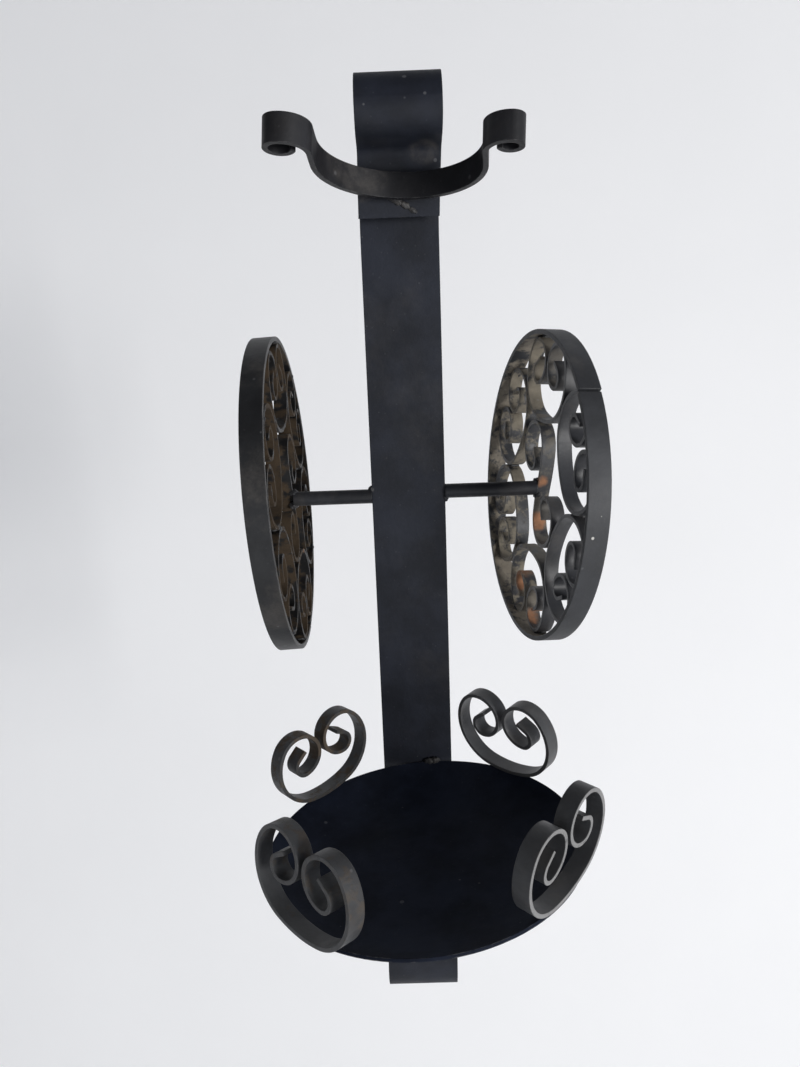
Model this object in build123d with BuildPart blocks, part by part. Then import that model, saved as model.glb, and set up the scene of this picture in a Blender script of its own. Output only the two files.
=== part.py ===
"""Wall sconce candle holder: black wrought-iron strip, rod and sheet, welded together.

The origin is on the back face of the back bar, on its centre line, level with the two side
rods. +X is to the right as seen from the room, +Y goes into the wall and +Z is up.
"""

from math import atan2, copysign, cos, degrees, radians, sin, sqrt
import os

from build123d import *

# ---- driving dimensions, mm and degrees -------------------------------------------------

# back bar, with both its ends rolled forward and spread a little by the hammer
bar_width = 41.0
bar_thickness = 3.0
bar_roll_start_top = 187.0
bar_roll_start_bottom = -294.8
bar_top_flap = 28.0
bar_bottom_flap = 21.0
bar_roll_reach = 40.0
bar_spread_length = 50.0
bar_top_edges = (-19.2, 22.1)
bar_bottom_edges = (-22.0, 19.8)

# flat strip bent into the scrolls
strip_thickness = 2.0
rim_strip_width = 8.7
grille_strip_width = 7.5

# the two round grilles beside the bar
ring_radius = 85.9
ring_width = 11.2
ring_thickness = 2.5
ring_seam_step = 0.9
ring_seam_gap = 1.0
scrolls_in_ring = 6
first_scroll_angle = 86.0
grille_scroll_scale = 0.955
touch_clearance = 0.05

# side rods
rod_diameter = 8.0

# candle dish
dish_radius = 81.7
dish_floor_radius = 40.0
dish_depth = 12.0
dish_sheet = 1.5
dish_rim_height = -167.1
dish_offset_x = 1.65
dish_tilt = 4.2
dish_tilt_azimuth = -8.0
dish_gap = 0.3

# bow that steadies a tall candle or a glass
bow_strip_width = 12.6
bow_strip_thickness = 2.5
bow_back = (3.7, -22.2, 155.9)
bow_rise = 12.0
bow_roll = -3.3
bow_turn = 4.5

# A C scroll is two mirrored halves. Each half is (radius, turn) from the middle of the back
# to the curled end, then a straight tail given as (length, 0).
half_scroll = [(56.0, 14.0), (23.5, 115.0), (13.7, 101.0), (12.0, 130.0), (5.8, 148.0), (6.5, 0)]

# Half of the S scroll in the middle of a grille, from its middle to one end.
half_s_scroll = [(64.5, 16.0), (14.5, 184.0), (12.5, 90.0), (5.5, 118.0), (5.0, 0)]
s_scroll_heading = 70.0
s_scroll_centre = (3.0, 2.5)

# Each half of the bow in plan, from the middle of its back to one end curl. The right curl
# came out tighter than the left.
bow_left_half = [(39.0, 31.0), (38.0, 62.0), (12.0, 0), (11.6, -96.0), (6.0, -246.0)]
bow_right_half = [(39.0, 31.0), (38.0, 62.0), (12.0, 0), (10.2, -96.0), (4.8, -250.0)]

# Rolled ends of the bar, from the straight part: forward loop, then back, then the flap.
top_roll = [(18.5, -165.0), (11.5, -85.0), (8.0, 0), (7.0, 58.0), (bar_top_flap, 0)]
bottom_roll = [(15.0, 130.0), (24.0, 55.0), (12.0, 65.0), (8.0, 0), (7.0, -58.0), (bar_bottom_flap, 0)]

# side: centre, turn about Z, tilt, spin of the scrollwork, angle of the ring's seam
grilles = {
    "right": ((73.2, -0.8, -0.8), 9.7, -3.6, 0.0, 42.5),
    "left": ((-70.4, -4.6, 0.5), 0.7, 2.5, 178.0, -100.0),
}
rod_heights = {"right": -1.2, "left": -2.8}

# name: size against half_scroll, azimuth where it touches the rim, rock along the rim,
# outward lean, turn and outward shift
rim_scrolls = {
    "rear_right": (1.0, 49.8, 0.3, -3.8, -4.1, 1.0),
    "rear_left": (0.96, 136.7, -6.9, -2.0, -4.2, 0.6),
    "front_left": (1.0, 231.8, -6.1, -7.5, -5.5, 0.0),
    "front_right": (1.0, 317.5, 7.0, 7.2, 1.5, -3.1),
}


# ---- bent strips ------------------------------------------------------------------------


def heading_vector(heading):
    """Unit vector that points along a heading in degrees."""
    return Vector(cos(radians(heading)), sin(radians(heading)))


def travel(start, heading, bends):
    """Walk a chain of tangent arcs and straights; return the end point and its heading."""
    point = Vector(*start)
    for size, turn in bends:
        if turn == 0:
            point = point + heading_vector(heading) * size
        else:
            radius = copysign(size, turn)
            centre = point + heading_vector(heading + 90) * radius
            heading = heading + turn
            point = centre - heading_vector(heading + 90) * radius
    return point, heading


def scaled(bends, scale):
    """The same bends at another size."""
    return [(size * scale, turn) for size, turn in bends]


def flipped(bends):
    """The same bends with every turn the other way."""
    return [(size, -turn) for size, turn in bends]


def joined_path(first_half, second_half, heading):
    """Start, heading and bends of a path through the origin whose two halves bend one way."""
    start, outward = travel((0, 0), heading + 180, flipped(first_half))
    return start, outward + 180, first_half[::-1] + second_half


def turned_path(half, heading):
    """Start, heading and bends of a path through the origin, one half the other turned over."""
    start, outward = travel((0, 0), heading + 180, half)
    return start, outward + 180, flipped(half)[::-1] + half


def draw_strip(start, heading, bends, thickness):
    """Draw, in the active sketch, a strip of even thickness along a chain of bends."""
    corners = []
    with BuildLine() as outline:
        for side in (1, -1):
            point = start + heading_vector(heading + 90) * (side * thickness / 2)
            direction = heading_vector(heading)
            corners.append(point)
            for size, turn in bends:
                if turn == 0:
                    edge = Line(point, point + direction * size)
                else:
                    radius = size - side * copysign(thickness / 2, turn)
                    edge = JernArc(point, direction, radius, turn)
                point = edge @ 1
                direction = edge % 1
            corners.append(point)
        Line(corners[0], corners[2])
        Line(corners[1], corners[3])
    make_face(outline.edges())


def draw_bar_outline():
    """Draw, in the active sketch, the bar from the front: straight, and spread at both ends."""
    spread_top = bar_roll_start_top - bar_spread_length
    spread_bottom = bar_roll_start_bottom + bar_spread_length
    edges = zip(bar_bottom_edges, (-bar_width / 2, bar_width / 2), bar_top_edges)
    corners = []
    with BuildLine() as outline:
        for bottom_x, middle_x, top_x in edges:
            bottom_corner = (bottom_x, bar_roll_start_bottom - bar_roll_reach)
            top_corner = (top_x, bar_roll_start_top + bar_roll_reach)
            bottom_roll_start = (bottom_x, bar_roll_start_bottom)
            top_roll_start = (top_x, bar_roll_start_top)
            Line(bottom_corner, bottom_roll_start)
            Spline(bottom_roll_start, (middle_x, spread_bottom), tangents=[(0, 1), (0, 1)])
            Line((middle_x, spread_bottom), (middle_x, spread_top))
            Spline((middle_x, spread_top), top_roll_start, tangents=[(0, 1), (0, 1)])
            Line(top_roll_start, top_corner)
            corners.append((bottom_corner, top_corner))
        Line(corners[0][0], corners[1][0])
        Line(corners[0][1], corners[1][1])
    make_face(outline.edges())


def placed(plane, *moves):
    """The plane after a chain of moves, each in the frame the one before it leaves."""
    location = plane.location
    for move in moves:
        location = location * move
    return Plane(location)


def save(part, name):
    """Label a finished piece and write it."""
    part.label = name
    export_step(part, f"parts/{name}.step")


os.makedirs("parts", exist_ok=True)

# ---- back bar ---------------------------------------------------------------------------

# The sketch's X points forwards, out of the wall, and its Y points up.
side_plane = Plane(origin=(0, 0, 0), x_dir=(0, -1, 0), z_dir=(-1, 0, 0))
bar_length = bar_roll_start_top - bar_roll_start_bottom
bar_bends = flipped(bottom_roll)[::-1] + [(bar_length, 0)] + top_roll

with BuildPart() as back_bar:
    with BuildSketch(side_plane):
        flap_end, flap_heading = travel((bar_thickness / 2, bar_roll_start_bottom), -90, bottom_roll)
        draw_strip(flap_end, flap_heading + 180, bar_bends, bar_thickness)
    extrude(amount=bar_width, both=True)
    with BuildSketch(Plane.XZ):
        draw_bar_outline()
    extrude(amount=bar_width * 2, both=True, mode=Mode.INTERSECT)
save(back_bar.part, "back_bar")

# ---- candle dish ------------------------------------------------------------------------

# The dish leans a little, so its plane is the plane of the top of its rim.
lean = radians(dish_tilt)
lean_x = -sin(lean) * cos(radians(dish_tilt_azimuth))
lean_y = -sin(lean) * sin(radians(dish_tilt_azimuth))
dish_centre = (dish_offset_x, -bar_thickness - dish_radius - dish_gap, dish_rim_height)
dish_plane = Plane(origin=dish_centre, x_dir=(cos(lean), 0, -lean_x), z_dir=(lean_x, lean_y, cos(lean)))

# One arc, tangent to the flat floor, makes the side.
side_run = dish_radius - dish_floor_radius
side_radius = (side_run**2 + dish_depth**2) / (2 * dish_depth)
side_turn = 2 * degrees(atan2(dish_depth, side_run))
edge_run = dish_sheet / 2 * sin(radians(side_turn))
rim_top_radius = dish_radius - 2 * edge_run
rim_top = dish_depth + dish_sheet / 2 * cos(radians(side_turn))
floor_run = dish_radius - edge_run - side_run

with BuildPart() as candle_dish:
    radial_plane = Plane(
        origin=dish_plane.from_local_coords((0, 0, -rim_top)),
        x_dir=dish_plane.x_dir,
        z_dir=-dish_plane.y_dir,
    )
    with BuildSketch(radial_plane):
        draw_strip(Vector(0, 0), 0, [(floor_run, 0), (side_radius, side_turn)], dish_sheet)
    revolve(axis=Axis(dish_plane.origin, dish_plane.z_dir))
save(candle_dish.part, "candle_dish")

# ---- four scrolls on the dish's rim -----------------------------------------------------

for place, (scale, azimuth, rock, outward_lean, turn, shift) in rim_scrolls.items():
    rim_half = scaled(half_scroll, scale)
    back_radius = rim_half[0][0]
    back_height = back_radius + strip_thickness / 2 + touch_clearance

    # The sketch's X runs along the rim, its Y up and its Z outwards. Rocking turns the scroll
    # about the centre of its round back, so that the back still touches the rim.
    on_rim = placed(dish_plane, Rot(Z=azimuth), Pos(X=rim_top_radius), Rot(Z=turn), Rot(Y=outward_lean))
    upright = Plane(origin=on_rim.origin, x_dir=on_rim.y_dir, z_dir=on_rim.x_dir)
    back_plane = placed(upright, Pos(0, back_height, shift), Rot(Z=rock), Pos(Y=-back_radius))
    with BuildPart() as rim_scroll:
        with BuildSketch(back_plane):
            tip, heading, bends = joined_path(rim_half, rim_half, 0)
            draw_strip(tip, heading, bends, strip_thickness)
        extrude(amount=rim_strip_width / 2, both=True)
    save(rim_scroll.part, f"rim_scroll_{place}")

# ---- bow --------------------------------------------------------------------------------

# The sketch's X points to the right and its Y forwards and up.
rise = radians(bow_rise)
roll = radians(bow_roll)
bow_side = Vector(cos(roll), 0, sin(roll))
bow_forward = Vector(0, -cos(rise), sin(rise))
bow_level = Plane(origin=bow_back, x_dir=bow_side, z_dir=bow_side.cross(bow_forward))
bow_plane = placed(bow_level, Rot(Z=bow_turn))

with BuildPart() as bow:
    with BuildSketch(bow_plane):
        tip, heading, bends = joined_path(bow_left_half, bow_right_half, 0)
        draw_strip(tip, heading, bends, bow_strip_thickness)
    extrude(amount=bow_strip_width / 2, both=True)
save(bow.part, "bow")

# ---- round grilles and the rods that carry them -----------------------------------------

ring_line = ring_radius - ring_thickness / 2
seam_turn = degrees(ring_seam_gap / ring_line)
ring_bends = [(ring_line, 180), (ring_line - ring_seam_step / 2, 180 - seam_turn)]

# The third bend of a C scroll reaches furthest out, so it is the one that meets the ring.
grille_half = scaled(half_scroll, grille_scroll_scale)
crown_start, crown_heading = travel((0, 0), 0, grille_half[:2])
crown_radius = grille_half[2][0]
crown = crown_start + heading_vector(crown_heading + 90) * crown_radius
ring_reach = ring_radius - ring_thickness - ring_seam_step - touch_clearance
crown_reach = ring_reach - strip_thickness / 2 - crown_radius
scroll_back = sqrt(crown_reach**2 - crown.X**2) - crown.Y

for side, (centre, turn, tilt, spin, seam_angle) in grilles.items():
    # The sketch's X points to the front, its Y up and its Z to the left.
    upright = Plane(origin=centre, x_dir=(0, -1, 0), z_dir=(-1, 0, 0))
    grille_plane = placed(upright, Rot(Y=turn), Rot(X=tilt))
    ring_base = grille_plane.offset(-ring_width / 2)

    with BuildPart() as ring:
        with BuildSketch(ring_base):
            ring_start = heading_vector(seam_angle + seam_turn / 2) * ring_line
            draw_strip(ring_start, seam_angle + seam_turn / 2 + 90, ring_bends, ring_thickness)
        extrude(amount=ring_width)
    save(ring.part, f"ring_{side}")

    # In both grilles the scrolls are flush with the right-hand edge of the ring.
    scroll_base = placed(ring_base, Rot(Z=spin))
    for number in range(scrolls_in_ring):
        angle = first_scroll_angle - number * 360 / scrolls_in_ring
        with BuildPart() as grille_scroll:
            with BuildSketch(scroll_base):
                tip, heading, bends = joined_path(grille_half, grille_half, angle - 90)
                draw_strip(tip + heading_vector(angle) * scroll_back, heading, bends, strip_thickness)
            extrude(amount=grille_strip_width)
        save(grille_scroll.part, f"c_scroll_{side}_{number + 1}")

    with BuildPart() as s_scroll:
        with BuildSketch(scroll_base):
            tip, heading, bends = turned_path(half_s_scroll, s_scroll_heading)
            draw_strip(tip + Vector(*s_scroll_centre), heading, bends, strip_thickness)
        extrude(amount=grille_strip_width)
    save(s_scroll.part, f"s_scroll_{side}")

    # Each rod runs from the bar's edge to the near side of the S scroll.
    if side == "right":
        away = 1
        rod_cut = scroll_base.offset(grille_strip_width + touch_clearance)
        rod_side = Keep.TOP
    else:
        away = -1
        rod_cut = scroll_base.offset(-touch_clearance)
        rod_side = Keep.BOTTOM
    rod_start = away * (bar_width / 2 + touch_clearance)
    rod_plane = Plane(origin=(rod_start, -bar_thickness / 2, rod_heights[side]), z_dir=(away, 0, 0))
    with BuildPart() as rod:
        with BuildSketch(rod_plane):
            Circle(rod_diameter / 2)
        extrude(amount=abs(centre[0]))
        split(bisect_by=rod_cut, keep=rod_side)
    save(rod.part, f"rod_{side}")
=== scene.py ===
# The wall sconce candle holder: worn black paint on iron, weld beads, floor, light and camera.
# Lengths are in metres, apart from the millimetres that mm() and Grille.spot() are given.
# Colours are linear RGB.

import math

import bmesh
import bpy
import numpy
from mathutils import Matrix, Vector, noise
from mathutils.bvhtree import BVHTree


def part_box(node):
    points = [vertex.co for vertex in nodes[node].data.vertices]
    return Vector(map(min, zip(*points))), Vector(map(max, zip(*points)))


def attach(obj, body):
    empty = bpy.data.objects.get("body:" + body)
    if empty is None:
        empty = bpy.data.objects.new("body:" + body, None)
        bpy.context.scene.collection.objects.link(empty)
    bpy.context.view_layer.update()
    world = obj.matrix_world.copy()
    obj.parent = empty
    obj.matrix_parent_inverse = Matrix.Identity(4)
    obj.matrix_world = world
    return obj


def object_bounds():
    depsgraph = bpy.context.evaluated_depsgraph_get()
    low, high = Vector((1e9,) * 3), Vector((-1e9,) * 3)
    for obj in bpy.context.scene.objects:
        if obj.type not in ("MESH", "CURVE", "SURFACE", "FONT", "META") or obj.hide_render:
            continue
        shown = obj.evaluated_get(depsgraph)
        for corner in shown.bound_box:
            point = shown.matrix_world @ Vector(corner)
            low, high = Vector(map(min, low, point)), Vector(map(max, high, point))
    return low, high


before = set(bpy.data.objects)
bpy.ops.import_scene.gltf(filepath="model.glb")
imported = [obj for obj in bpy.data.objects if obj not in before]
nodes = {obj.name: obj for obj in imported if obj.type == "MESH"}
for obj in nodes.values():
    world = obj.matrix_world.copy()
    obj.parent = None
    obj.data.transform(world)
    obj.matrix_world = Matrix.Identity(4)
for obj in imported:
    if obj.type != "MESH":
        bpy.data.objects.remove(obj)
cad_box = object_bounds()


def mm(*values):
    """Millimetres to a vector in metres."""
    return Vector(v / 1000 for v in values)


# ---- where things are, read from the CAD nodes ------------------------------------------


def points_of(name):
    """The world-space corners of a node's mesh."""
    return [nodes[name].matrix_world @ v.co for v in nodes[name].data.vertices]


def search_tree(name):
    """A search tree over a node's surface."""
    return BVHTree.FromPolygons(points_of(name), [tuple(p.vertices) for p in nodes[name].data.polygons])


trees = {name: search_tree(name) for name in nodes}


def flat_frame(name):
    """Centre and thin direction of a node that is a flat ring or scroll of strip."""
    points = numpy.array(points_of(name))
    centre = (points.max(axis=0) + points.min(axis=0)) / 2
    values, vectors = numpy.linalg.eigh(numpy.cov((points - points.mean(axis=0)).T))
    return Vector(centre), Vector(vectors[:, 0])


class Grille:
    """A round grille's centre and directions: its axle, its front and its top."""

    def __init__(self, side):
        self.centre, axle = flat_frame(f"ring_{side}")
        self.axle = axle if axle.x > 0 else -axle
        self.front = (Vector((0, -1, 0)) - self.axle * -self.axle.y).normalized()
        self.up = self.front.cross(self.axle)
        self.up = self.up if self.up.z > 0 else -self.up

    def spot(self, forward, upward, along=0.0):
        """A place in the grille, in millimetres from its centre."""
        return self.centre + (self.front * forward + self.up * upward + self.axle * along) / 1000


grilles = {"left": Grille("left"), "right": Grille("right")}


# ---- node helpers -----------------------------------------------------------------------


class Tree:
    """A material's node tree, with short calls for the nodes used here."""

    def __init__(self, name):
        self.material = bpy.data.materials.new(name)
        self.material.use_nodes = True
        self.tree = self.material.node_tree
        self.tree.nodes.clear()
        self.output = self.tree.nodes.new("ShaderNodeOutputMaterial")
        self.shader = self.tree.nodes.new("ShaderNodeBsdfPrincipled")
        self.tree.links.new(self.shader.outputs[0], self.output.inputs[0])
        self.place = self.tree.nodes.new("ShaderNodeTexCoord").outputs["Object"]
        self.normal = self.tree.nodes.new("ShaderNodeNewGeometry").outputs["True Normal"]

    def node(self, kind, **settings):
        made = self.tree.nodes.new(kind)
        for key, value in settings.items():
            setattr(made, key, value)
        return made

    def link(self, source, target):
        if isinstance(source, (int, float, tuple, Vector)):
            target.default_value = source
        else:
            self.tree.links.new(source, target)

    def math(self, operation, a, b=0.0):
        made = self.node("ShaderNodeMath", operation=operation)
        self.link(a, made.inputs[0])
        self.link(b, made.inputs[1])
        return made.outputs[0]

    def vector(self, operation, a, b, output="Vector"):
        made = self.node("ShaderNodeVectorMath", operation=operation)
        self.link(a, made.inputs[0])
        self.link(b, made.inputs[1])
        return made.outputs[output]

    def shifted(self, offset):
        """The place in the object, moved so that two patterns with two offsets never line up."""
        made = self.node("ShaderNodeMapping")
        self.link(self.place, made.inputs["Vector"])
        made.inputs["Location"].default_value = (offset, offset * 0.7, offset * 1.3)
        return made.outputs[0]

    def noise(self, scale, detail, rough, offset):
        """Noise with about scale lumps to a metre, mostly between 0.3 and 0.7."""
        made = self.node("ShaderNodeTexNoise")
        self.link(self.shifted(offset), made.inputs["Vector"])
        made.inputs["Scale"].default_value = scale
        made.inputs["Detail"].default_value = detail
        made.inputs["Roughness"].default_value = rough
        return made.outputs["Fac"]

    def specks(self, scale, size, share, offset):
        """Small round specks in a share of the cells of a scattered grid, each its own size."""
        soft_edge = 0.35
        made = self.node("ShaderNodeTexVoronoi")
        self.link(self.shifted(offset), made.inputs["Vector"])
        made.inputs["Scale"].default_value = scale
        split = self.node("ShaderNodeSeparateColor")
        self.link(made.outputs["Color"], split.inputs[0])
        reach = self.math("MULTIPLY", split.outputs[1], size)
        near = self.math("SUBTRACT", reach, made.outputs["Distance"])
        kept = self.math("GREATER_THAN", split.outputs[0], 1.0 - share)
        return self.math("MULTIPLY", self.ramp(near, 0.0, size * soft_edge), kept)

    def ramp(self, value, start, end):
        """0 at start to 1 at end, smooth, either way round."""
        made = self.node("ShaderNodeMapRange", interpolation_type="SMOOTHSTEP")
        self.link(value, made.inputs["Value"])
        made.inputs["From Min"].default_value = min(start, end)
        made.inputs["From Max"].default_value = max(start, end)
        made.inputs["To Min"].default_value = 0.0 if start < end else 1.0
        made.inputs["To Max"].default_value = 1.0 if start < end else 0.0
        return made.outputs[0]

    def mix(self, amount, a, b):
        """Colour a turning into colour b; a plain colour is a tuple of four."""
        made = self.node("ShaderNodeMix", data_type="RGBA")
        self.link(amount, made.inputs["Factor"])
        self.link(a, made.inputs[6])
        self.link(b, made.inputs[7])
        return made.outputs[2]

    def blend(self, amount, a, b):
        """Number a turning into number b."""
        made = self.node("ShaderNodeMix", data_type="FLOAT")
        self.link(amount, made.inputs["Factor"])
        self.link(a, made.inputs[2])
        self.link(b, made.inputs[3])
        return made.outputs[0]

    def edges(self, radius):
        """Near 1 along sharp edges, from how far rounding turns the normal, and that normal."""
        rounded = self.node("ShaderNodeBevel", samples=4)
        rounded.inputs["Radius"].default_value = radius
        turned = self.vector("DOT_PRODUCT", rounded.outputs[0], self.normal, "Value")
        return self.ramp(turned, 0.985, 0.80), rounded.outputs[0]

    def near(self, spots, ragged):
        """Near 1 inside any of some balls, each given as (centre, radius in metres).

        The noise ragged, about 0.5 on average, times the radius is added to every distance. So
        the rims are uneven, and a ball's edge lies near 1.35 radii in that sum.
        """
        outside, inside = 1.55, 1.15
        total = 0.0
        for centre, radius in spots:
            distance = self.vector("DISTANCE", self.place, centre, "Value")
            uneven = self.math("ADD", distance, self.math("MULTIPLY", ragged, radius))
            ball = self.ramp(uneven, radius * outside, radius * inside)
            total = self.math("MAXIMUM", total, ball)
        return total

    def facing(self, centre, start, end):
        """Near 1 where the surface faces a centre, as the inside of a ring does."""
        inward = self.vector("NORMALIZE", self.vector("SUBTRACT", centre, self.place), (0, 0, 0))
        return self.ramp(self.vector("DOT_PRODUCT", inward, self.normal, "Value"), start, end)

    def along(self, direction):
        """Near 1 on faces square to a direction, such as the cut edges of a strip."""
        lined_up = self.math("ABSOLUTE", self.vector("DOT_PRODUCT", direction, self.normal, "Value"))
        return self.ramp(lined_up, 0.80, 0.97)

    def bump(self, strength, depth, height, under):
        """Unevenness of a depth in metres on top of the normal under it."""
        made = self.node("ShaderNodeBump")
        made.inputs["Strength"].default_value = strength
        made.inputs["Distance"].default_value = depth
        self.link(height, made.inputs["Height"])
        self.link(under, made.inputs["Normal"])
        return made.outputs[0]


# Colours of wear, dirt and painted edge highlights, the same on every piece.
haze_colour = (0.115, 0.103, 0.092, 1)
dark_dirt = (0.042, 0.037, 0.029)
light_dirt = (0.215, 0.188, 0.145)
dark_orange = (0.11, 0.050, 0.024, 1)
light_orange = (0.42, 0.20, 0.10, 1)
bare_metal_and_painted_highlight = (0.30, 0.295, 0.29, 1)
large_dust = (0.30, 0.30, 0.31, 1)
fine_dust = (0.16, 0.16, 0.17, 1)
chip_colour = (0.50, 0.49, 0.46, 1)

# How much rubbed haze and orange rust hide, how far the edge wear reaches, and how rough the
# surface is on dirt and on bare metal.
rubbed_cover = 0.34
orange_cover = 0.9
edge_radius = 0.0006
dirt_rough = 0.86
bare_rough = 0.42


def cloudy_paint(t, paint, cloud):
    """The paint's colour, a little darker and lighter from place to place."""
    dark = tuple(c * 0.72 for c in paint) + (1,)
    light = tuple(c * 1.35 + 0.001 for c in paint) + (1,)
    return t.mix(t.ramp(cloud, 0.34, 0.68), dark, light)


def dullness(t, offset, haze, haze_spots, cloud, ragged):
    """Where hands and dust have dulled the paint: a broad haze and a few rubbed spots."""
    dull = t.math("MULTIPLY", t.ramp(t.noise(26, 6, 0.7, offset + 3), 0.48, 0.72), haze)
    if haze_spots:
        rubbed = t.math("MULTIPLY", t.near(haze_spots, cloud), t.ramp(ragged, 0.25, 0.75))
        dull = t.math("MAXIMUM", dull, t.math("MULTIPLY", rubbed, rubbed_cover))
    return dull


def staining(t, offset, rust, rust_mask, ragged):
    """Where dried dirt and brown primer lie, in blotches with ragged rims."""
    broad = t.noise(34, 4, 0.55, offset + 9)
    field = t.math("ADD", t.math("MULTIPLY", ragged, 0.5), t.math("MULTIPLY", broad, 0.5))
    clean_below = 0.58 - 0.16 * rust
    stain = t.ramp(field, clean_below, clean_below + 0.08)
    stain = t.math("MULTIPLY", stain, min(1.0, 1.6 * rust))
    if rust_mask is not None:
        stain = t.math("MULTIPLY", stain, rust_mask(t))
    return stain


def tan(t, offset, dirt):
    """The dirt's colour, mottled between a dark and a light tan and tinted by dirt."""
    dark_tan = tuple(c * d for c, d in zip(dark_dirt, dirt)) + (1,)
    light_tan = tuple(c * d for c, d in zip(light_dirt, dirt)) + (1,)
    return t.mix(t.noise(120, 6, 0.7, offset + 2), dark_tan, light_tan)


def bare_wear_and_painted_highlight(t, offset, edge, edge_wear, strip_axis, face_wear, ragged):
    """Where the paint is worn to the metal, broken up so that it is never an even line. On the rim
    scrolls and the dish this bare colour is partly a painted highlight.
    """
    broken = t.ramp(t.noise(95, 6, 0.7, offset + 11), 0.42, 0.64)
    bare = t.math("MULTIPLY", t.math("MULTIPLY", edge, broken), edge_wear)
    if strip_axis is not None:
        faces = t.math("MULTIPLY", t.along(strip_axis), t.ramp(ragged, 0.22, 0.5))
        bare = t.math("MAXIMUM", bare, t.math("MULTIPLY", faces, face_wear))
    return bare


def dusted(t, offset, dust, colour):
    """The colour under dust specks, large and fine."""
    large = t.math("MULTIPLY", t.specks(210, 0.28, 0.10, offset + 1), dust)
    colour = t.mix(large, colour, large_dust)
    fine = t.math("MULTIPLY", t.specks(620, 0.40, 0.16, offset + 8), dust * 0.35)
    return t.mix(fine, colour, fine_dust)


def roughness_of(t, offset, rough, stain, bare, dull):
    """Satin where the paint is whole, matt on dirt and rust, a little shine on bare edges."""
    satin = t.blend(t.noise(55, 5, 0.6, offset + 13), rough - 0.08, rough + 0.14)
    dirty = t.blend(stain, satin, dirt_rough)
    worn = t.blend(bare, dirty, bare_rough)
    return t.math("MAXIMUM", worn, dull)


def unevenness(t, offset, rounded, stain):
    """The normal, with hammered waves, the paint's grain and grit in the rust."""
    waves = t.bump(0.4, 0.0010, t.noise(62, 3, 0.5, offset + 15), rounded)
    grain = t.bump(0.4, 0.00022, t.noise(620, 5, 0.65, offset + 17), waves)
    grit = t.math("MULTIPLY", t.noise(380, 6, 0.7, offset + 19), stain)
    return t.bump(0.6, 0.0005, grit, grain)


def iron(
    name,
    paint,
    offset,
    rust=0.0,
    rust_mask=None,
    edge_wear=0.3,
    face_wear=0.0,
    strip_axis=None,
    haze=0.0,
    haze_spots=(),
    dust=0.15,
    orange_spots=(),
    chips=(),
    rough=0.46,
    shine=0.5,
    dirt=(1.0, 1.0, 1.0),
):
    """Brushed black paint on strip iron, with worn edges, rust and dirt, dust and chips.

    The offset moves this finish's patterns. rust, edge_wear, face_wear, haze and dust are amounts
    from 0 to 1, and the spots and chips are lists of (centre, radius in metres). rust_mask is a
    function of the tree that says where dirt can lie, strip_axis is the direction that the strip's
    worn cut edges face, and dirt is a tint for the dirt's colours. On the grilles the paint and the
    dirt tint also hold painted light and shade, and on the rim scrolls and the dish the edge and
    face wear also paint pale highlights.
    """
    t = Tree(name)
    edge, rounded = t.edges(edge_radius)
    ragged = t.noise(150, 6, 0.65, offset + 5)
    cloud = t.noise(30, 6, 0.62, offset)

    colour = cloudy_paint(t, paint, cloud)
    dull = dullness(t, offset, haze, haze_spots, cloud, ragged)
    colour = t.mix(dull, colour, haze_colour)
    stain = staining(t, offset, rust, rust_mask, ragged)
    colour = t.mix(stain, colour, tan(t, offset, dirt))
    if orange_spots:
        rusted = t.near(orange_spots, ragged)
        orange = t.mix(t.noise(230, 5, 0.65, offset + 4), dark_orange, light_orange)
        colour = t.mix(t.math("MULTIPLY", rusted, orange_cover), colour, orange)
        stain = t.math("MAXIMUM", stain, rusted)
    bare = bare_wear_and_painted_highlight(t, offset, edge, edge_wear, strip_axis, face_wear, ragged)
    colour = t.mix(bare, colour, bare_metal_and_painted_highlight)
    colour = dusted(t, offset, dust, colour)
    if chips:
        colour = t.mix(t.near(chips, ragged), colour, chip_colour)

    t.link(colour, t.shader.inputs["Base Color"])
    t.link(roughness_of(t, offset, rough, stain, bare, dull), t.shader.inputs["Roughness"])
    t.shader.inputs["Specular IOR Level"].default_value = shine
    t.link(unevenness(t, offset, rounded, stain), t.shader.inputs["Normal"])
    return t.material


# ---- finishes ---------------------------------------------------------------------------

black = (0.0105, 0.0125, 0.0195)
left_grille = grilles["left"]
right_grille = grilles["right"]
bow_low, bow_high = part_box("bow")
bow_middle = Vector(((bow_low[0] + bow_high[0]) / 2, bow_high[1], (bow_low[2] + bow_high[2]) / 2))

# Places of wear, dust, rust and chips, each with its radius in metres.
wear_on_bow = [
    (bow_middle + mm(-12, -2, -5), 0.009),
    (bow_middle + mm(-22, -6, -3), 0.011),
    (bow_middle + mm(-34, -14, 1), 0.012),
]
dust_on_flap = [
    (bow_middle + mm(-17, 0, -9), 0.007),
    (bow_middle + mm(14, 0, 10), 0.009),
    (bow_middle + mm(10, 0, -9), 0.006),
]
rust_on_right = [
    (right_grille.spot(1, 5), 0.0055),
    (right_grille.spot(-1, -20), 0.0070),
    (right_grille.spot(-18, -60), 0.0080),
    (right_grille.spot(6, -73), 0.0065),
]
rust_on_left = [
    (left_grille.spot(-20, -40), 0.0065),
    (left_grille.spot(-52, 16), 0.0060),
]
chips_on_right = [
    (right_grille.spot(85.9, 2.3, 1.2), 0.0006),
    (right_grille.spot(85.3, -8.2, -2.0), 0.0009),
]

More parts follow.
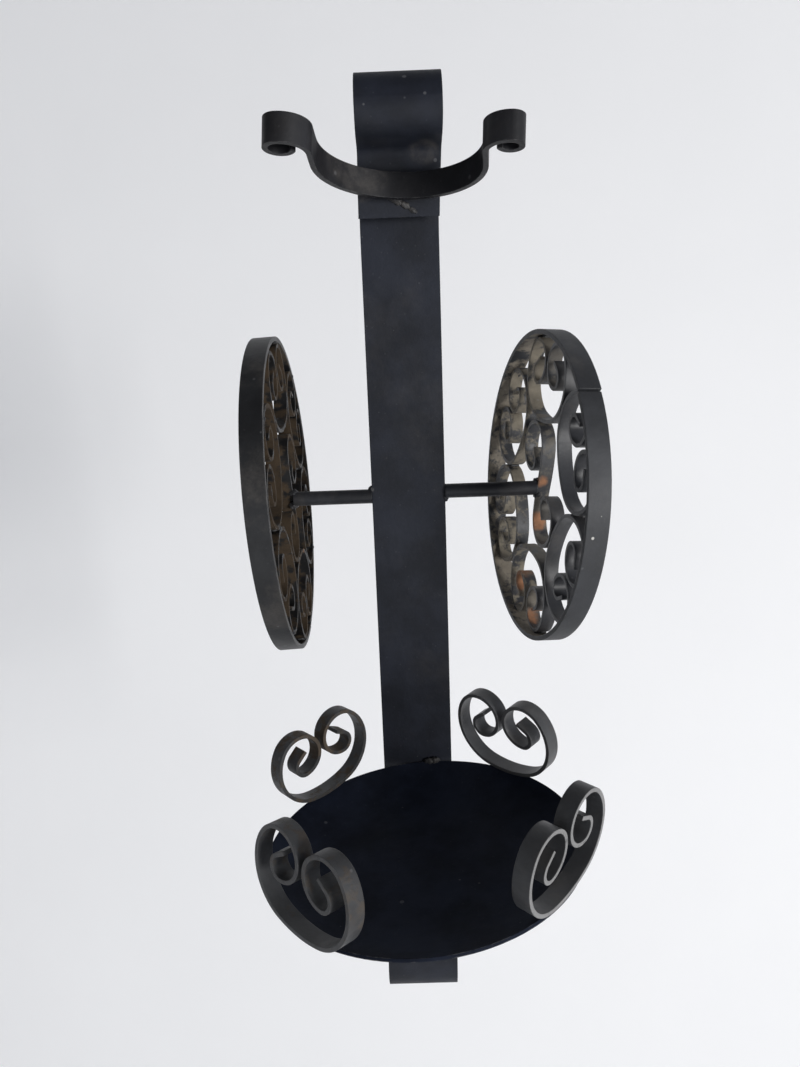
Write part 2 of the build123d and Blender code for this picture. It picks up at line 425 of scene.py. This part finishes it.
node_finishes = {
    "back_bar": iron(
        "bar_finish",
        black,
        1.0,
        dust=0.2,
        edge_wear=0.35,
        haze=0.08,
        haze_spots=dust_on_flap,
        rough=0.54,
        shine=0.25,
    ),
    "bow": iron(
        "bow_finish",
        (0.010, 0.010, 0.012),
        4.0,
        edge_wear=0.4,
        haze=0.08,
        haze_spots=wear_on_bow,
        shine=0.3,
    ),
    "candle_dish": iron(
        "dish_finish",
        (0.0100, 0.0135, 0.0250),
        6.0,
        # The strong edge wear is partly worn paint, partly a painted highlight along the dish's lip.
        edge_wear=0.9,
        rough=0.70,
        shine=0.12,
    ),
    # The light dirt tint on the right ring's inner faces is partly dust, partly painted light.
    "ring_right": iron(
        "ring_right_finish",
        (0.024, 0.0255, 0.0295),
        7.0,
        rust=0.82,
        dirt=(1.5, 1.5, 1.55),
        rust_mask=lambda t: t.facing(right_grille.centre, 0.1, 0.4),
        edge_wear=0.35,
        haze=0.25,
        chips=chips_on_right,
        rough=0.58,
    ),
    # The left ring's dark paint and dark dirt tint are partly painted shade, away from the light on the
    # right.
    "ring_left": iron(
        "ring_left_finish",
        (0.0125, 0.013, 0.0145),
        8.0,
        rust=0.75,
        dirt=(0.36, 0.30, 0.25),
        rust_mask=lambda t: t.facing(left_grille.centre, 0.1, 0.4),
        edge_wear=0.45,
        haze=0.35,
        shine=0.35,
    ),
    "rod_left": iron(
        "rod_left_finish",
        (0.014, 0.015, 0.018),
        12.0,
        edge_wear=0.2,
        haze=0.3,
        shine=0.3,
    ),
    "rod_right": iron(
        "rod_right_finish",
        (0.012, 0.013, 0.017),
        13.0,
        edge_wear=0.2,
        haze=0.15,
        shine=0.3,
    ),
}


def dust_and_painted_light_towards_wall(t):
    """More light tan towards the wall than at the front of the right grille: partly dust, partly
    painted light.
    """
    clean_in_front, full_behind = 0.030, 0.022
    split = t.node("ShaderNodeSeparateXYZ")
    t.link(t.place, split.inputs[0])
    middle = right_grille.centre.y
    return t.ramp(split.outputs[1], middle - clean_in_front, middle + full_behind)


# The light dirt tint towards the wall is partly dust, partly painted light on the right scrollwork.
right_scrollwork = iron(
    "right_scrollwork",
    (0.024, 0.025, 0.029),
    2.0,
    rust=0.82,
    dirt=(1.3, 1.3, 1.3),
    rust_mask=dust_and_painted_light_towards_wall,
    haze=0.3,
    edge_wear=0.4,
    orange_spots=rust_on_right,
)
# The dark paint and dark dirt tint are partly painted shade on the left scrollwork, over its real dirt
# and rust.
left_scrollwork_painted_shade = iron(
    "left_scrollwork_painted_shade",
    (0.0070, 0.0070, 0.0075),
    3.0,
    rust=0.85,
    dirt=(0.34, 0.27, 0.215),
    haze=0.05,
    edge_wear=0.0,
    orange_spots=rust_on_left,
    shine=0.2,
)
grille_weld_finish = iron(
    "grille_weld_finish",
    (0.011, 0.0115, 0.0135),
    33.0,
    haze=0.15,
    rough=0.5,
)
weld_finish = iron(
    "weld_finish",
    (0.016, 0.016, 0.018),
    31.0,
    rust=0.2,
    dirt=(0.5, 0.5, 0.5),
    haze=0.35,
    rough=0.6,
)

# The four scrolls on the rim share one grey, raised partly as painted light: how worn, light, hazy
# and rusty each of them is. light is partly painted light and shade, lighter on the right and darker
# on the left, and wear partly paints pale highlights on the edges, most on the front right scroll.
rim_grey_with_painted_light = (0.040, 0.041, 0.044)
rim_looks_with_painted_light = {
    "front_right": {"wear": 0.50, "light": 1.0, "haze": 0.25, "rust": 0.10},
    "front_left": {"wear": 0.14, "light": 0.85, "haze": 0.15, "rust": 0.30},
    "rear_right": {"wear": 0.10, "light": 1.25, "haze": 0.40, "rust": 0.15},
    "rear_left": {"wear": 0.05, "light": 0.65, "haze": 0.10, "rust": 0.60},
}
for index, (place, look) in enumerate(rim_looks_with_painted_light.items()):
    name = f"rim_scroll_{place}"
    node_finishes[name] = iron(
        f"{name}_finish",
        tuple(c * look["light"] for c in rim_grey_with_painted_light),
        20.0 + index,
        edge_wear=0.25 + 0.6 * look["wear"],
        face_wear=look["wear"],
        strip_axis=flat_frame(name)[1],
        haze=look["haze"],
        rust=look["rust"],
        dirt=(0.50, 0.40, 0.32),
    )

# Every other node is scrollwork in one of the two grilles.
for name, node in nodes.items():
    if name not in node_finishes:
        node_finishes[name] = right_scrollwork if "right" in name else left_scrollwork_painted_shade
    node.data.materials.clear()
    node.data.materials.append(node_finishes[name])


# ---- weld beads -------------------------------------------------------------------------


def bead(name, centre, size, finish_of, turn, seed, finish=None):
    """A lumpy weld bead: a squashed ball pushed in and out by noise, with ripples along it.

    size is the half-length, half-width and half-height, and turn is the matrix of its directions.
    finish_of is the node whose finish it takes where no finish is given.
    """
    lump_scale, lump_depth = 1.5, 0.28
    ripple_scale, ripple_depth = 9, 0.05
    grit_scale, grit_depth = 5, 0.08
    mesh = bpy.data.meshes.new(name)
    build = bmesh.new()
    bmesh.ops.create_icosphere(build, subdivisions=4, radius=1.0)
    for vertex in build.verts:
        spot = vertex.co.copy()
        lump = noise.noise(spot * lump_scale + Vector((seed, seed, 0))) * lump_depth
        ripple = math.sin(spot.x * ripple_scale + seed) * ripple_depth
        grit = noise.noise(spot * grit_scale + Vector((0, seed, seed))) * grit_depth
        spot = spot * (1.0 + lump + ripple + grit)
        vertex.co = turn @ Vector(spot[i] * size[i] for i in range(3)) + centre
    build.to_mesh(mesh)
    build.free()
    for polygon in mesh.polygons:
        polygon.use_smooth = True
    made = bpy.data.objects.new(name, mesh)
    bpy.context.scene.collection.objects.link(made)
    mesh.materials.append(finish or node_finishes[finish_of])
    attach(made, "root")


def directions(along, outward):
    """Rotation matrix whose X runs along a bead and whose Z points out of the joint."""
    z = outward.normalized()
    x = (along - z * along.dot(z)).normalized()
    return Matrix((x, z.cross(x), z)).transposed()


def joints_between(a, b, reach, apart):
    """Where node a comes within reach of node b: a list of middle points and directions b to a.

    Places nearer than apart to a closer one belong to the same joint.
    """
    as_close = 0.0002
    near = []
    for point in points_of(a):
        hit, _, _, distance = trees[b].find_nearest(point, reach)
        if hit is not None:
            near.append((distance, (point + hit) / 2, point - hit))
    near.sort(key=lambda entry: entry[0])
    found = []
    while near:
        closest = near[0][1]
        group = [entry for entry in near if (entry[1] - closest).length < apart]
        near = [entry for entry in near if (entry[1] - closest).length >= apart]
        tight = [entry for entry in group if entry[0] < group[0][0] + as_close]
        middle = sum((entry[1] for entry in tight), Vector()) / len(tight)
        gap = sum((entry[2] for entry in tight), Vector())
        found.append((middle, gap.normalized()))
    return found


def weld(a, b, reach, apart, size, along, shift=0.0, most=1, finish=None):
    """Weld beads at the closest joints of node a and node b, moved by shift towards a."""
    for index, (middle, outward) in enumerate(joints_between(a, b, reach, apart)[:most]):
        centre = middle + outward * shift
        seed = sum(ord(letter) for letter in a + b) % 97 + index * 3.1
        bead(f"weld_{a}_{b}_{index + 1}", centre, size, a, directions(along, outward), seed, finish)


# Half-length, half-width and half-height of each kind of bead in the grilles.
scroll_to_ring = mm(3.9, 3.7, 1.9)
scroll_to_middle = mm(3.8, 3.3, 1.8)
scroll_to_scroll = mm(3.8, 3.2, 1.7)
rod_to_scroll = mm(2.6, 3.0, 1.9)
rod_to_bar = mm(1.9, 2.0, 2.3)
rod_end_lift = 0.0036
rod_bar_lift = 0.0038
rightwards = Vector((1, 0, 0))
upwards = Vector((0, 0, 1))
to_wall = Vector((0, 1, 0))

for side, grille in grilles.items():
    axle = grille.axle
    ring, middle_scroll = f"ring_{side}", f"s_scroll_{side}"
    scrolls = [f"c_scroll_{side}_{number}" for number in range(1, 7)]
    for name in scrolls:
        weld(
            name,
            ring,
            reach=0.0013,
            apart=0.012,
            size=scroll_to_ring,
            along=axle,
            shift=0.0005,
            most=2,
            finish=grille_weld_finish,
        )
        weld(
            name,
            middle_scroll,
            reach=0.0014,
            apart=0.010,
            size=scroll_to_middle,
            along=axle,
            finish=grille_weld_finish,
        )
    for name, neighbour in zip(scrolls, scrolls[1:] + scrolls[:1]):
        weld(
            name,
            neighbour,
            reach=0.0013,
            apart=0.012,
            size=scroll_to_scroll,
            along=axle,
            finish=grille_weld_finish,
        )
    # The rod is welded over and under at its end in the scrollwork.
    rod = f"rod_{side}"
    low, high = (Vector(corner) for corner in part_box(f"rod_{side}"))
    end_x = high.x if side == "right" else low.x
    bar_x = low.x if side == "right" else high.x
    middle = (low + high) / 2
    for index, over in enumerate((1, -1)):
        lift = upwards * over
        inner = Vector((end_x, middle.y, middle.z)) + lift * rod_end_lift
        turn = directions(axle, lift)
        bead(f"weld_rod_end_{side}_{index + 1}", inner, rod_to_scroll, rod, turn, seed=index + 5.3)
    # At the bar there is one bead, above the left rod and below the right one.
    above = 1 if side == "left" else -1
    outer = Vector((bar_x, middle.y, middle.z + above * rod_bar_lift))
    bead(f"weld_rod_bar_{side}", outer, rod_to_bar, rod, directions(rightwards, upwards), seed=2.7)

# The right ring's seam is closed by a small weld inside it.
seam_forward, seam_upward, seam_along = 61.5, 56.0, 3.0
seam = right_grille.spot(seam_forward, seam_upward, seam_along)
seam_inward = -right_grille.spot(seam_forward, seam_upward) + right_grille.centre
seam_turn = directions(right_grille.axle, seam_inward)
bead("weld_seam_right", seam, mm(2.8, 2.0, 1.4), "ring_right", seam_turn, seed=4.4)

# Each scroll on the rim stands in one low bead.
scroll_to_dish = mm(4.2, 1.3, 1.0)
for place in rim_looks_with_painted_light:
    name = f"rim_scroll_{place}"
    along_strip = upwards.cross(flat_frame(name)[1])
    weld(name, "candle_dish", 0.0010, 0.03, scroll_to_dish, along_strip, shift=-0.0004)

# The bow is welded under its lower edge, in a ridge that runs down across the bar's upper flap:
# x, z and half-sizes of each bead in millimetres.
bow_ridge = (
    (-9.0, 153.6, (3.2, 1.6, 1.5)),
    (-4.5, 153.0, (3.6, 2.4, 2.2)),
    (-1.0, 150.6, (3.4, 2.0, 1.8)),
    (3.0, 148.2, (3.2, 1.5, 1.3)),
    (7.0, 145.6, (2.6, 1.2, 1.0)),
)
in_front = cad_box[0][1] - 0.05
ridge_turn = directions(Vector((1, 0, -0.6)), -to_wall)
for index, (x, z, size) in enumerate(bow_ridge):
    hit = trees["back_bar"].ray_cast(Vector((x / 1000, in_front, z / 1000)), to_wall)[0]
    name = f"weld_bow_{index + 1}"
    bead(name, hit, mm(*size), "bow", ridge_turn, seed=index + 1.9, finish=weld_finish)

# Two beads side by side join the dish's rim to the bar's front: x and half-sizes in millimetres.
dish_beads = ((7.0, (3.4, 1.8, 2.2)), (10.5, (2.8, 1.8, 3.6)))
rim_y, bead_y, bead_lift = -0.004, -0.0042, 0.0005
above_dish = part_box("candle_dish")[1][2] + 0.02
dish_turn = directions(rightwards, Vector((0, -0.3, 1)))
for index, (x, size) in enumerate(dish_beads):
    hit = trees["candle_dish"].ray_cast(Vector((x / 1000, rim_y, above_dish)), -upwards)[0]
    centre = Vector((x / 1000, bead_y, hit.z + bead_lift))
    name = f"weld_dish_{index + 1}"
    bead(name, centre, mm(*size), "candle_dish", dish_turn, seed=index + 8.1, finish=weld_finish)


# ---- floor, light and camera ------------------------------------------------------------


def sheet_mesh(name, rows):
    """A smooth sheet from rows of points."""
    mesh = bpy.data.meshes.new(name)
    width = len(rows[0])
    points = [point for row in rows for point in row]
    faces = []
    for r in range(len(rows) - 1):
        for c in range(width - 1):
            a = r * width + c
            faces.append((a, a + 1, a + width + 1, a + width))
    mesh.from_pydata(points, [], faces)
    for polygon in mesh.polygons:
        polygon.use_smooth = True
    made = bpy.data.objects.new(name, mesh)
    bpy.context.scene.collection.objects.link(made)
    return made


# The camera stands close in front, a little above the rods, and looks down. The focal length
# and the sensor's longer side are in millimetres.
eye = mm(0.329, -454.40, 88.54)
yaw = math.radians(0.758)
pitch = math.radians(14.069)
roll = math.radians(-2.161)
forward = Vector((-math.sin(yaw) * math.cos(pitch), math.cos(yaw) * math.cos(pitch), -math.sin(pitch)))
level = Vector((math.cos(yaw), math.sin(yaw), 0))
upward = level.cross(forward)
right = level * math.cos(roll) + upward * math.sin(roll)
top = upward * math.cos(roll) - level * math.sin(roll)
focal_length = 27.6815
sensor_length = 36.0
lens = bpy.data.cameras.new("camera")
lens.sensor_width = sensor_length
lens.lens = focal_length
lens.clip_start = 0.01
camera = bpy.data.objects.new("camera", lens)
turn = Matrix((right, top, -forward)).transposed().to_4x4()
camera.matrix_world = Matrix.Translation(eye) @ turn
bpy.context.scene.collection.objects.link(camera)
bpy.context.scene.camera = camera

# The pale floor rises behind the sconce as a backdrop that is square to the camera. It is far
# enough away for the sconce to be seen from behind too, and it is curved at the foot.
backdrop_depth = 0.90
backdrop_top = 3.5
backdrop_foot = -1.45
half_width = 4.0
floor_length = 6
curve = 0.30
curve_steps = 16
foot = forward * backdrop_depth + upward * backdrop_foot
profile = [forward * backdrop_depth + upward * backdrop_top, foot]
for step in range(1, curve_steps + 1):
    angle = (math.pi / 2 - pitch) * step / curve_steps
    profile.append(foot - forward * curve * (1 - math.cos(angle)) - upward * curve * math.sin(angle))
profile.append(profile[-1] + Vector((0, -floor_length, 0)))
sides = (-half_width, half_width)
floor = sheet_mesh("floor", [[point + Vector((x, 0, 0)) for x in sides] for point in profile])
pale = Tree("pale_floor")
pale.shader.inputs["Roughness"].default_value = 0.8
tone = pale.mix(pale.noise(3.0, 3, 0.5, 1), (0.80, 0.80, 0.81, 1), (0.86, 0.86, 0.87, 1))
pale.link(tone, pale.shader.inputs["Base Color"])
# A little light of its own keeps the floor pale away from the lamps.
pale.shader.inputs["Emission Color"].default_value = (0.97, 0.98, 1.0, 1)
pale.shader.inputs["Emission Strength"].default_value = 0.16
floor.data.materials.append(pale.material)


def area_light(name, place, target, size, power, colour):
    """A soft square lamp at place, facing target. Its power is in watts."""
    lamp = bpy.data.lights.new(name, "AREA")
    lamp.shape = "SQUARE"
    lamp.size = size
    lamp.energy = power
    lamp.color = colour
    made = bpy.data.objects.new(name, lamp)
    made.location = place
    made.rotation_euler = (Vector(target) - Vector(place)).to_track_quat("-Z", "Y").to_euler()
    bpy.context.scene.collection.objects.link(made)


# The key light is on the right, near the rods' height, and a broad soft one is low in front.
area_light("key", (1.88, -2.35, 0.10), (0, 0, 0), 0.8, 66, (1.0, 0.99, 0.97))
area_light("front", (0.45, -2.3, -1.5), (0, 0, -0.1), 1.6, 14, (0.92, 0.96, 1.0))

# The sky is dim above, brighter towards the horizon and brightest on the right.
world = bpy.data.worlds.new("studio")
world.use_nodes = True
sky = world.node_tree
split = sky.nodes.new("ShaderNodeSeparateXYZ")
sky.links.new(sky.nodes.new("ShaderNodeTexCoord").outputs["Generated"], split.inputs[0])


def sky_ramp(axis, from_min, from_max, to_min, to_max):
    """Light that changes evenly along one axis of the direction looked in."""
    made = sky.nodes.new("ShaderNodeMapRange")
    made.inputs["From Min"].default_value = from_min
    made.inputs["From Max"].default_value = from_max
    made.inputs["To Min"].default_value = to_min
    made.inputs["To Max"].default_value = to_max
    sky.links.new(split.outputs[axis], made.inputs["Value"])
    return made.outputs[0]


total = sky.nodes.new("ShaderNodeMath")
sky.links.new(sky_ramp("Z", -0.1, 0.7, 0.34, 0.06), total.inputs[0])
sky.links.new(sky_ramp("X", 0.1, 1.0, 0.0, 0.6), total.inputs[1])
sky.links.new(total.outputs[0], sky.nodes["Background"].inputs["Strength"])
sky.nodes["Background"].inputs["Color"].default_value = (0.88, 0.91, 0.98, 1)
bpy.context.scene.world = world
bpy.context.scene.view_settings.view_transform = "Standard"
